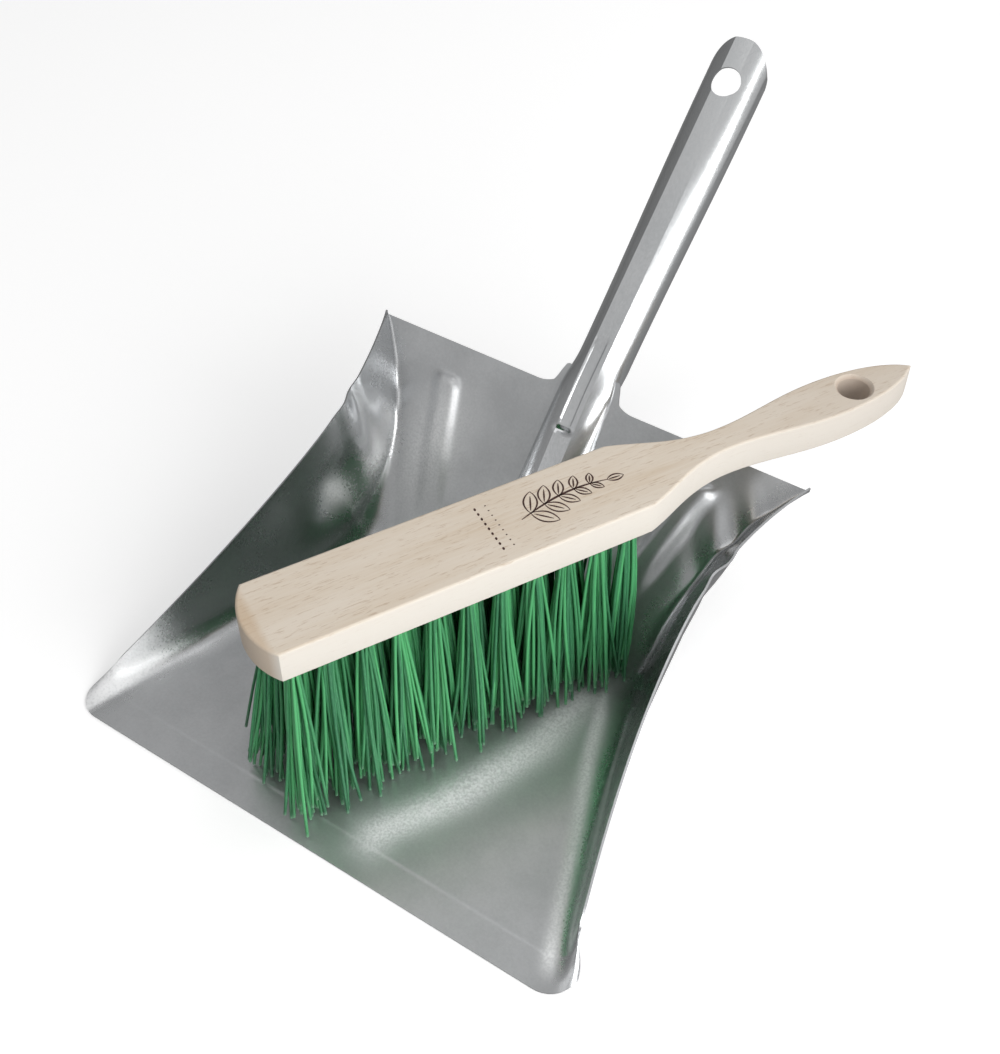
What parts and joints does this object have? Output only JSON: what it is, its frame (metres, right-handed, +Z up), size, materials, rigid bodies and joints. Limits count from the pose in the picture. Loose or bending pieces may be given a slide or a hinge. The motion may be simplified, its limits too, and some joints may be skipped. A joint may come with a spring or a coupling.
{
  "type": "dust pan and brush set",
  "caption": "Sheet steel dust pan with a flared, ribbed scoop and a folded channel handle, with a wooden hand brush standing in it on long green bristles.",
  "frame": {"origin": "middle of the flat underside of the pan's floor", "axes": "+X across the pan to its right, +Y from the front lip to the handle, +Z up"},
  "size_m": [0.22, 0.3049, 0.1736],
  "materials": {
    "pan_steel": "bright zinc-plated sheet, softly mottled",
    "handle_steel": "bright zinc-plated sheet, drawn along its length",
    "block_wood": "raw sanded beech",
    "bristle": "extruded green filament"
  },
  "bodies": {
    "pan": {"pan_body": "pan_steel", "pan_handle": "handle_steel"},
    "brush": {"brush_block": "block_wood", "bristle_tuft_near_01": "bristle", "bristle_tuft_near_02": "bristle", "bristle_tuft_near_03": "bristle", "bristle_tuft_near_04": "bristle", "bristle_tuft_near_05": "bristle", "bristle_tuft_near_06": "bristle", "bristle_tuft_near_07": "bristle", "bristle_tuft_near_08": "bristle", "bristle_tuft_near_09": "bristle", "bristle_tuft_near_10": "bristle", "bristle_tuft_near_11": "bristle", "bristle_tuft_inner_near_01": "bristle", "bristle_tuft_inner_near_02": "bristle", "bristle_tuft_inner_near_03": "bristle", "bristle_tuft_inner_near_04": "bristle", "bristle_tuft_inner_near_05": "bristle", "bristle_tuft_inner_near_06": "bristle", "bristle_tuft_inner_near_07": "bristle", "bristle_tuft_inner_near_08": "bristle", "bristle_tuft_inner_near_09": "bristle", "bristle_tuft_inner_near_10": "bristle", "bristle_tuft_inner_far_01": "bristle", "bristle_tuft_inner_far_02": "bristle", "bristle_tuft_inner_far_03": "bristle", "bristle_tuft_inner_far_04": "bristle", "bristle_tuft_inner_far_05": "bristle", "bristle_tuft_inner_far_06": "bristle", "bristle_tuft_inner_far_07": "bristle", "bristle_tuft_inner_far_08": "bristle", "bristle_tuft_inner_far_09": "bristle", "bristle_tuft_inner_far_10": "bristle", "bristle_tuft_inner_far_11": "bristle", "bristle_tuft_far_01": "bristle", "bristle_tuft_far_02": "bristle", "bristle_tuft_far_03": "bristle", "bristle_tuft_far_04": "bristle", "bristle_tuft_far_05": "bristle", "bristle_tuft_far_06": "bristle", "bristle_tuft_far_07": "bristle", "bristle_tuft_far_08": "bristle", "bristle_tuft_far_09": "bristle", "bristle_tuft_far_10": "bristle"}
  },
  "joints": [
    {"name": "brush_lift", "type": "slide", "parent": "pan", "child": "brush", "axis": [0, 0, 1], "range_m": [0, 0.15]}
  ]
}
